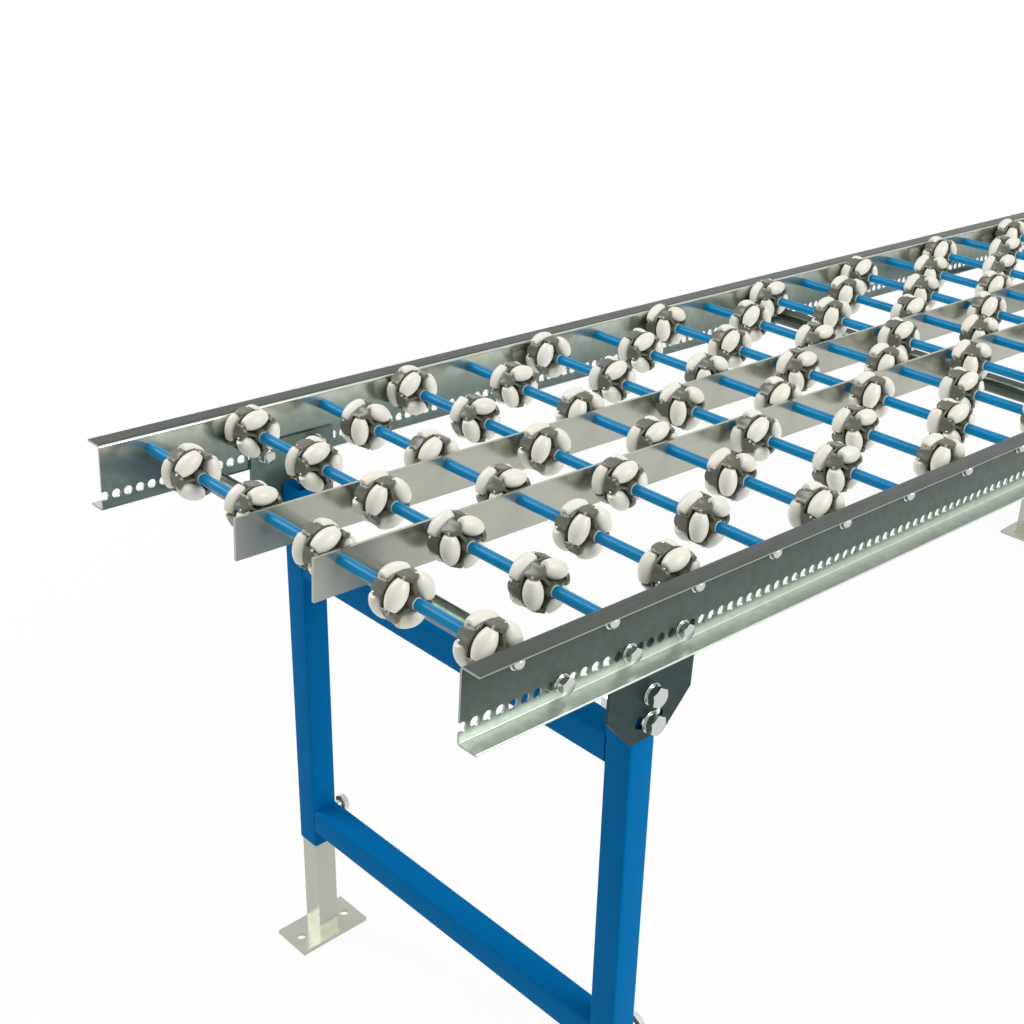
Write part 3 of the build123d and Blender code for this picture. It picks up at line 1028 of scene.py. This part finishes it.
    def _punched_band(self) -> Shape:
        """The band of the web that holds the row of holes, of which the rail's ends cut the outer two."""
        made = Shape()
        ring = [2 * pi * i / HOLE_STEPS for i in range(HOLE_STEPS)]
        sweep = pi - atan2(sqrt(HOLE_RADIUS**2 - FIRST_HOLE**2), FIRST_HOLE)
        cut_ring = [sweep * (2 * i / END_HOLE_STEPS - 1) for i in range(END_HOLE_STEPS + 1)]
        for index in range(HOLES):
            cut = index in (0, HOLES - 1)
            self._cell(made, FIRST_HOLE + index * HOLE_PITCH, cut_ring if cut else ring, cut)
        return made

    def _cell(self, made: Shape, x: float, angles: list[float], cut: bool) -> None:
        """One hole with its walls and the square of web round it.

        Args:
            made: The shape to add to.
            x: The hole's middle.
            angles: Where the rim's points lie, from the direction of the rail's middle where it is cut.
            cut: Whether the rail's end cuts the hole.
        """
        way = -1 if cut and x > BED_LENGTH / 2 else 1
        start, count = len(made.points), len(angles)
        for y in (WEB_INNER, WEB_OUTER):
            for a in angles:
                rim = HOLE_RADIUS * cos(a), HOLE_RADIUS * sin(a)
                made.points.append(self._point(x + way * rim[0], y, HOLE_Z + rim[1]))
            for a in angles:
                scale = HALF_PITCH / max(abs(cos(a)), abs(sin(a)))
                across = min(max(x + way * scale * cos(a), 0.0), BED_LENGTH)
                made.points.append(self._point(across, y, HOLE_Z + scale * sin(a)))
        far = start + 2 * count
        for i in range(count - 1 if cut else count):
            j = (i + 1) % count
            made.face(start + i, start + j, start + count + j, start + count + i, slot=Face.INSIDE)
            made.face(far + i, far + count + i, far + count + j, far + j)
            made.face(start + i, far + i, far + j, start + j, slot=Face.EDGE)


@dataclass(frozen=True)
class BoltSize:
    """A hexagon bolt's sizes in millimetres.

    Attributes:
        flats: Width across the flats of the head and the nut.
        head: The head's height.
        nut: The nut's height.
        washer_radius: The washer's radius.
        washer_height: The washer's thickness.
        shank: The shank's radius.
        tip: From where to where the shank's end shows, out from the nut's seat.
    """

    flats: float
    head: float
    nut: float
    washer_radius: float
    washer_height: float
    shank: float
    tip: tuple[float, float]

    def stack(self, height: float) -> Shape:
        """A flat and a spring washer with a hexagon on them, standing on z of nought.

        Args:
            height: The hexagon's height.

        Returns:
            All three together.
        """
        flat = self.washer_height
        spring = flat * SPRING_HEIGHT_SHARE
        made = washer(self.washer_radius, WASHER_BORE, flat)
        upper = washer(self.washer_radius * SPRING_RADIUS_SHARE, WASHER_BORE, spring)
        made.add(upper, Matrix.Translation((0, 0, flat)))
        return made.add(hex_head(self.flats, height, flat + spring))

    def rod(self, start: float, end: float) -> Shape:
        """A length of the shank along z."""
        return prism(circle(self.shank, SHANK_STEPS), start, end)


M8 = BoltSize(13, 5.3, 6.5, 8, 1.6, 3.9, (8.1, 10.0))
M10 = BoltSize(17, 6.4, 8, 10, 2.0, 4.9, (9.9, 12.0))


class Fasteners(Assembly):
    """Domed axle screws and all hexagon bolts, with their washers."""

    def build(self) -> None:
        """Builds every screw and bolt."""
        self._axle_screws()
        self._rail_bolts()
        for end in End:
            self._stand_bolts(end)

    def _axle_screws(self) -> None:
        """Domed screws over washers at both ends of every axle."""
        dome = [(SCREW_WASHER_RADIUS, 0), (SCREW_WASHER_RADIUS, 1.3)]
        dome += [(SCREW_RADIUS, 1.5), (SCREW_RADIUS, SCREW_RIM)]
        for angle in range(15, 90, 15):
            a = radians(angle)
            dome.append((SCREW_RADIUS * cos(a), SCREW_RIM + SCREW_RISE * sin(a)))
        dome.append((0, SCREW_RIM + SCREW_RISE))
        shape = Shape()
        for side in Side:
            for row in range(ROWS):
                place = seat(row_x(row), side.value * WEB_OUTER, AXLE_Z, side.value)
                shape.add(lathe(dome, ROUND_STEPS), place)
        self.studio.on_bed("axle_screws", shape, Finishes.ZINC, ["axle_screws_row_1"])

    def _rail_bolts(self) -> None:
        """The bolts of the cross ties and bracket plates, heads outside and nuts within."""
        ties, brackets = Shape(), Shape()
        for side in Side:
            way = side.value
            for index in TIE_HOLES:
                x = FIRST_HOLE + index * HOLE_PITCH
                ties.add(M8.stack(M8.head), seat(x, way * WEB_OUTER, HOLE_Z, way))
            for index in BRACKET_HOLES:
                x = FIRST_HOLE + index * HOLE_PITCH
                for along in (x, BED_LENGTH - x):
                    brackets.add(M8.stack(M8.head), seat(along, way * WEB_OUTER, HOLE_Z, way))
                    inner = seat(along, way * (WEB_INNER - PLATE_THICKNESS), HOLE_Z, -way)
                    brackets.add(M8.stack(M8.nut), inner)
                    brackets.add(M8.rod(*M8.tip), inner)
        self.studio.on_bed("tie_bolt_heads", ties, Finishes.ZINC, ["cross_tie_bolts"])
        self.studio.on_bed("bracket_bolt_sets", brackets, Finishes.ZINC, ["bracket_bolts"])

    def _stand_bolts(self, end: End) -> None:
        """The pivot, slot and height bolts of a stand."""
        for what, z in (("pivot", 0.0), ("slot", -SLOT_RADIUS)):
            shape = Shape()
            for side in Side:
                way = side.value
                shape.add(M10.stack(M10.head), seat(0, way * WEB_INNER, z, way))
                inner = seat(0, way * (UPRIGHT_FACE - TUBE), z, -way)
                shape.add(M10.stack(M10.nut), inner)
                shape.add(M10.rod(*M10.tip), inner)
                shape.add(M10.rod(0.0, WEB_INNER - UPRIGHT_FACE), seat(0, way * UPRIGHT_FACE, z, way))
            self.studio.on_stand(end, f"{what}_bolt_sets", shape, Finishes.ZINC, f"{what}_bolts")
        shape = Shape()
        for side in Side:
            face = Vector((TUBE / 2, side.value * UPRIGHT_Y, CLAMP_Z))
            turn = Matrix.Translation(face) @ facing(Vector((1, 0, 0)))
            shape.add(hex_head(M10.flats, M10.nut), turn)
            shape.add(M10.rod(M10.nut, CLAMP_STAND_OFF + 0.2), turn)
            shape.add(hex_head(M10.flats, M10.head), turn @ Matrix.Translation((0, 0, CLAMP_STAND_OFF)))
        self.studio.on_stand(end, "height_bolt_sets", shape, Finishes.ZINC, "height_bolts")


class Wheels(Assembly):
    """Every omni wheel: the shown one with hub, pins and six barrels apart, the others as one piece each."""

    def build(self) -> None:
        """Builds all the wheels."""
        hub = self._hub()
        whole = self._whole_mesh(hub)
        for row in range(ROWS):
            for number, y in enumerate(wheel_ys(row), 1):
                if row == 0 and number == SHOWN_WHEEL + 1:
                    continue
                body = f"row_1_wheel_{number}" if row == 0 else f"row_{row + 1}_wheels"
                node = f"wheel_row_1_{number}" if row == 0 else f"wheels_row_{row + 1}"
                turn = Matrix.Rotation(radians(self._phase(row, number)), 4, "Z")
                at = self.studio.bed.wheel(row, y) @ turn
                self.studio.piece(f"omni_wheel_{row + 1}_{number}", whole, body, at, [node])
        self._shown_wheel(hub)

    @staticmethod
    def _phase(row: int, number: int) -> float:
        """How far a wheel is turned, in degrees: two rows as seen in the photo, the rest by a formula."""
        if row < len(TURNS):
            return TURNS[row][number - 1]
        return (row * ROW_TURN + number * WHEEL_TURN) % RING_STEP

    def _barrel(self) -> Shape:
        """One barrel along x, bored, with softened ends."""
        ends = degrees(asin((BARREL_HALF_LENGTH - BARREL_EDGE) / WHEEL_RADIUS))
        flank = arc(WHEEL_RADIUS, (-BARREL_AXIS, 0.0), -ends, ends, FLANK_STEPS)
        end = flank[-1][0] - BARREL_EDGE
        bore, length = BARREL_BORE_RADIUS, BARREL_HALF_LENGTH
        profile = [(bore, -length), (end, -length)] + flank + [(end, length), (bore, length)]
        return lathe(profile, BARREL_STEPS, closed=True)

    def _barrel_places(self) -> list[Matrix]:
        """The six barrels' places in the wheel, in millimetres, with z along each barrel."""
        places = []
        for ring, face in enumerate((-1, 1)):
            for step in range(3):
                angle = radians(RING_PHASE + (step + ring / 2) * RING_STEP)
                turn = Matrix.Rotation(angle, 4, "Z")
                lay = Matrix.Rotation(-pi / 2, 4, "X")
                places.append(turn @ Matrix.Translation((BARREL_AXIS, 0, face * RING_OFFSET)) @ lay)
        return places

    def _hub(self) -> Shape:
        """The hub: core, bosses, middle disc, and three thin arms with rounded ears on each face."""
        end, waist = HUB_HALF_LENGTH, HUB_HALF_LENGTH - BOSS_LENGTH
        core = [(AXLE_BORE, -end), (BOSS_RADIUS, -end), (BOSS_RADIUS, -waist), (HUB_CORE_RADIUS, -waist)]
        made = lathe(core + mirrored(core), ROUND_STEPS, closed=True)
        half = DISC_THICKNESS / 2
        disc = [(AXLE_BORE, -half), (DISC_RADIUS - DISC_EDGE, -half), (DISC_RADIUS, DISC_EDGE - half)]
        made.add(lathe(disc + mirrored(disc), DISC_STEPS, closed=True))
        arm, ear = self._arm(), self._ear()
        for ring, face in enumerate((-1, 1)):
            flip = Matrix.Rotation(pi if face < 0 else 0, 4, "X")
            for step in range(3):
                angle = radians(RING_PHASE + (step + (ring + 1) / 2) * RING_STEP)
                turn = Matrix.Rotation(angle, 4, "Z") @ flip
                made.add(arm, turn)
                made.add(ear, turn)
        return made

    @staticmethod
    def _arm() -> Shape:
        """A thin arm along x, on the upper face, that tapers from the boss to the ear."""
        half = ARM_WIDTH / 2
        top = [(ARM_TIP, EAR_REACH - 1.5), (11.0, EAR_REACH + 0.8), (ARM_FOOT, EAR_REACH + 2.4)]
        side = [(ARM_FOOT, 0.0), (ARM_TIP, 0.0)] + top
        made = Shape([Vector((x, y, z)) for y in (-half, half) for x, z in side])
        n = len(side)
        for i in range(n):
            j = (i + 1) % n
            made.face(i, j, n + j, n + i)
        made.face(*reversed(range(n)))
        made.face(*range(n, 2 * n))
        return made

    @staticmethod
    def _ear() -> Shape:
        """A rounded ear on x, on the upper face, that fills the wedge between two barrels' ends."""
        steps = 17
        half_step = radians(RING_STEP / 2)
        made = Shape()
        for i in range(steps):
            y = -(EAR_HALF_WIDTH - 0.001) * cos(pi * i / (steps - 1))
            top = EAR_REACH - EAR_HALF_WIDTH + sqrt(EAR_HALF_WIDTH**2 - y**2)
            inner = (WINDOW + abs(y) * cos(half_step)) / sin(half_step)
            outer = sqrt(EAR_RADIUS**2 - y**2) - EAR_DIP * cos(pi * y / 2 / EAR_HALF_WIDTH) ** 2
            soft = min(EAR_SOFT, 0.6 * (outer - inner))
            ring = [(inner, 0.0), (outer, 0.0), (outer, top - soft), (outer - soft * 0.3, top - soft * 0.3)]
            ring += [(outer - soft, top), (inner, top)]
            made.points += [Vector((x, y, z)) for x, z in ring]
        n = 6
        for i in range(steps - 1):
            for k in range(n):
                j = (k + 1) % n
                made.face(i * n + k, (i + 1) * n + k, (i + 1) * n + j, i * n + j)
        made.face(*range(n))
        made.face(*reversed(range((steps - 1) * n, steps * n)))
        return made

    def _pin(self) -> Shape:
        """A steel pin along z with rounded ends."""
        end, r = PIN_HALF_LENGTH, PIN_RADIUS
        lower = [(0, -end), (r * 0.7, 0.1 - end), (r, 0.6 - end)]
        return lathe(lower + mirrored(lower), PIN_STEPS)

    def _whole_mesh(self, hub: Shape) -> bpy.types.Mesh:
        """Hub, barrels and pins as one mesh."""
        shape = Shape().add(hub, None, 0)
        for place in self._barrel_places():
            shape.add(self._barrel(), place, 1)
            shape.add(self._pin(), place, 2)
        return self.studio.mesh("omni_wheel_mesh", shape, [Finishes.HUB, Finishes.BARREL, Finishes.PIN])

    def _shown_wheel(self, hub: Shape) -> None:
        """The wheel whose barrels turn on their pins."""
        studio = self.studio
        place = studio.bed.wheel(0, wheel_ys(0)[SHOWN_WHEEL])
        mesh = studio.mesh("shown_hub_mesh", hub, [Finishes.HUB])
        studio.piece("shown_hub", mesh, "omni_wheel", place, ["omni_hub"])
        pins = Shape()
        barrel = studio.mesh("barrel_mesh", self._barrel(), [Finishes.BARREL])
        for number, spot in enumerate(self._barrel_places(), 1):
            pins.add(self._pin(), spot)
            metres = spot.copy()
            metres.translation = spot.translation * MM
            name = f"barrel_{number}"
            studio.piece(f"shown_{name}", barrel, name, place @ metres, [f"omni_{name}"])
        mesh = studio.mesh("shown_pins_mesh", pins, [Finishes.PIN])
        studio.piece("shown_pins", mesh, "omni_wheel", place, ["omni_pins"])


class Axles(Assembly):
    """The axles' blue spacer tubes and the thin white collars beside the hubs."""

    def build(self) -> None:
        """Builds the tubes and collars of every row."""
        tubes, collars = Shape(), Shape()
        stand_off = HUB_HALF_LENGTH + RUNNING_GAP
        for row in range(ROWS):
            x = row_x(row)
            for start, end in self._gaps(row):
                length = end - start - 2 * RUNNING_GAP
                if length > 2 * COLLAR_LENGTH:
                    bore = circle(AXLE_BORE, ROUND_STEPS)
                    tube = hollow_prism(circle(SPACER_RADIUS, ROUND_STEPS), bore, 0, length)
                    tubes.add(tube, seat(x, start + RUNNING_GAP, AXLE_Z, 1))
            for y in wheel_ys(row):
                for way in (-1, 1):
                    collar = washer(COLLAR_RADIUS, COLLAR_BORE, COLLAR_LENGTH)
                    collars.add(collar, seat(x, y + way * stand_off, AXLE_Z, way))
        nodes = ["spacer_tubes_row_1", "axles_rows_2_to_20"]
        self.studio.on_bed("spacer_tubes", tubes, Finishes.SPACER, nodes)
        self.studio.on_bed("collars", collars, Finishes.COLLAR)

    @staticmethod
    def _gaps(row: int) -> list[tuple[float, float]]:
        """The clear lengths of a row's axle, in y."""
        stops = [(-WEB_INNER - 1, -WEB_INNER), (WEB_INNER, WEB_INNER + 1)]
        stops += [(y - HUB_HALF_LENGTH, y + HUB_HALF_LENGTH) for y in wheel_ys(row)]
        stops += [(face, face + BAR_THICKNESS) for face in BAR_NEAR_FACES]
        stops.sort()
        return [(a[1], b[0]) for a, b in zip(stops, stops[1:])]


@dataclass
class Stand(Assembly):
    """One stand: welded square tubes and two telescopic legs.

    Attributes:
        end: Which end of the bed it holds.
    """

    end: End

    def build(self) -> None:
        """Builds the tubes and dresses the legs."""
        posts = Shape()
        for side in Side:
            place = Matrix.Translation((0, side.value * UPRIGHT_Y, 0))
            posts.add(self._tube(UPRIGHT_BOTTOM, UPRIGHT_TOP), place)
        self.studio.on_stand(self.end, "posts", posts, Finishes.POWDER, "uprights")
        reach = UPRIGHT_FACE - TUBE
        for what, top in (("upper", UPPER_BAR_TOP), ("lower", LOWER_BAR_TOP)):
            bar = Shape().add(self._tube(-reach, reach), seat(0, 0, top - TUBE / 2, 1))
            self.studio.on_stand(self.end, f"{what}_bar", bar, Finishes.POWDER, f"{what}_crossbar")
        for side in Side:
            self.studio.dress(f"{self.end.value}_leg_{side.name.lower()}", Finishes.BAR, FOLD_BREAK)

    @staticmethod
    def _tube(start: float, end: float) -> Shape:
        """A square tube along z with rounded corners."""
        inner = rounded_square(TUBE - 2 * TUBE_WALL, TUBE_CORNER - TUBE_WALL)
        return hollow_prism(rounded_square(TUBE, TUBE_CORNER), inner, start, end)


class Stage(Assembly):
    """Floor, lamps and camera."""

    FLOOR_HALF = 9000.0
    # The floor goes from nearly white to white between these distances from the middle, in metres
    WHITE_FROM = 0.8
    WHITE_TO = 1.8
    WHITE_NEAR = 0.92
    SKY_STRENGTH = 0.4
    SKY_COLOUR = (1.0, 1.0, 0.97, 1.0)
    LAMPS_AIM = (-0.3, 0, 0.5)
    # Where the camera stands, in the bed's millimetres, how it is turned, in degrees, and its lens
    CAMERA_ON_BED = (-630.2, -936.6, 611.9)
    HEADING = 46.268
    DOWN = 26.585
    ROLL = 1.338
    LENS = 54.062
    SENSOR_WIDTH = 36.0
    FAR_CLIP = 50.0
    SHIFT = (-0.0054, 0.0078)
    LAMPS = (
        ("side_softbox", (0.4, -3.2, 2.6), (2.2, 2.2), 96.0),
        ("back_softbox", (-1.6, 1.9, 2.8), (1.1, 2.4), 54.0),
    )

    def build(self) -> None:
        """Sets the floor, the light and the camera."""
        self._floor()
        self._light()
        self._camera()
        bpy.context.scene.view_settings.view_transform = "Standard"

    def _floor(self) -> None:
        """A wide floor that shows white to the camera and takes a soft shadow."""
        edge = self.FLOOR_HALF
        corners = ((-edge, -edge), (edge, -edge), (edge, edge), (-edge, edge))
        shape = Shape([Vector((x, y, 0)) for x, y in corners])
        shape.face(0, 1, 2, 3)
        material = bpy.data.materials.new("studio_floor")
        material.use_nodes = True
        nodes = Nodes(material.node_tree)
        matt = nodes.tree.nodes["Principled BSDF"]
        matt.inputs["Base Color"].default_value = linear("F4F4F2")
        matt.inputs["Roughness"].default_value = 0.9
        white = nodes.add("Emission", Strength=1.0)
        place = nodes.add("TexCoord")
        length = nodes.add("VectorMath", "LENGTH")
        nodes.link(place.outputs["Object"], length.inputs[0])
        near = nodes.add("MapRange", From_Min=self.WHITE_FROM, From_Max=self.WHITE_TO, To_Min=self.WHITE_NEAR)
        nodes.link(length.outputs["Value"], near.inputs["Value"])
        share = nodes.add("Math", "MULTIPLY")
        nodes.link(near.outputs["Result"], share.inputs[1])
        nodes.link(self._seen(nodes), share.inputs[0])
        self._mix(nodes, share.outputs["Value"], matt, white, "Material Output")
        floor = bpy.data.objects.new("floor", shape.mesh("floor_mesh", [material], SMOOTH))
        bpy.context.scene.collection.objects.link(floor)

    @staticmethod
    def _mix(
        nodes: Nodes, share: bpy.types.NodeSocket, first: bpy.types.Node, second: bpy.types.Node, output: str
    ) -> None:
        """Ends a tree in a mix of two shaders.

        Args:
            nodes: The tree to add to.
            share: How much shows of the second.
            first: The first shader.
            second: The second shader.
            output: The name of the tree's output node.
        """
        mix = nodes.add("MixShader")
        for number, source in enumerate((share, first.outputs[0], second.outputs[0])):
            nodes.link(source, mix.inputs[number])
        nodes.link(mix.outputs["Shader"], nodes.tree.nodes[output].inputs["Surface"])

    @staticmethod
    def _seen(nodes: Nodes) -> bpy.types.NodeSocket:
        """Tells rays that show the background from rays that only carry light.

        Args:
            nodes: The material's or world's nodes.

        Returns:
            A socket that is one for camera, glossy and transmission rays.
        """
        path = nodes.add("LightPath")
        total = path.outputs["Is Camera Ray"]
        for kind in ("Is Glossy Ray", "Is Transmission Ray"):
            most = nodes.add("Math", "MAXIMUM")
            nodes.link(total, most.inputs[0])
            nodes.link(path.outputs[kind], most.inputs[1])
            total = most.outputs["Value"]
        return total

    def _light(self) -> None:
        """A pale sky all round, a broad lamp on the near side, and one behind that the tubes mirror."""
        world = bpy.data.worlds.new("studio_world")
        bpy.context.scene.world = world
        world.use_nodes = True
        nodes = Nodes(world.node_tree)
        soft = nodes.tree.nodes["Background"]
        soft.inputs["Color"].default_value = self.SKY_COLOUR
        soft.inputs["Strength"].default_value = self.SKY_STRENGTH
        white = nodes.add("Background", Color=(1.0, 1.0, 1.0, 1.0), Strength=1.0)
        self._mix(nodes, self._seen(nodes), soft, white, "World Output")
        for name, spot, size, power in self.LAMPS:
            lamp = bpy.data.lights.new(name, "AREA")
            lamp.shape = "RECTANGLE"
            lamp.size, lamp.size_y = size
            lamp.energy = power
            made = bpy.data.objects.new(name, lamp)
            bpy.context.scene.collection.objects.link(made)
            aim = Vector(spot) - Vector(self.LAMPS_AIM)
            made.matrix_world = Matrix.Translation(spot) @ facing(aim)

    def _camera(self) -> None:
        """The camera, where the photograph was taken from."""
        data = bpy.data.cameras.new("camera")
        data.lens = self.LENS
        data.sensor_width = self.SENSOR_WIDTH
        data.shift_x, data.shift_y = self.SHIFT
        data.clip_end = self.FAR_CLIP
        camera = bpy.data.objects.new("camera", data)
        bpy.context.scene.collection.objects.link(camera)
        turn = Matrix.Rotation(radians(self.HEADING - 90), 4, "Z")
        tip = Matrix.Rotation(radians(90 - self.DOWN), 4, "X")
        roll = Matrix.Rotation(radians(self.ROLL), 4, "Z")
        at = self.studio.bed.at(*self.CAMERA_ON_BED).translation
        camera.matrix_world = Matrix.Translation(at) @ turn @ tip @ roll
        bpy.context.scene.camera = camera


def main() -> None:
    """Builds the whole picture, sub-assembly by sub-assembly."""
    logging.basicConfig(level=logging.INFO, format="%(message)s")
    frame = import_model()
    studio = Studio(frame, Finishes(), Bed.from_joints(frame["joints"]))
    for side in Side:
        Rail(studio, side).build()
    for node in ("inner_bar_near", "inner_bar_far"):
        studio.dress(node, Finishes.BAR, EDGE_BREAK)
    studio.dress("cross_ties", Finishes.TIE, FOLD_BREAK)
    for node in ("bracket_plates_front", "bracket_plates_rear"):
        studio.dress(node, Finishes.PLATE, EDGE_BREAK)
    studio.dress("axle_row_1", Finishes.STEEL)
    Fasteners(studio).build()
    Wheels(studio).build()
    Axles(studio).build()
    for end in End:
        Stand(studio, end).build()
    Stage(studio).build()


if __name__ == "__main__":
    main()
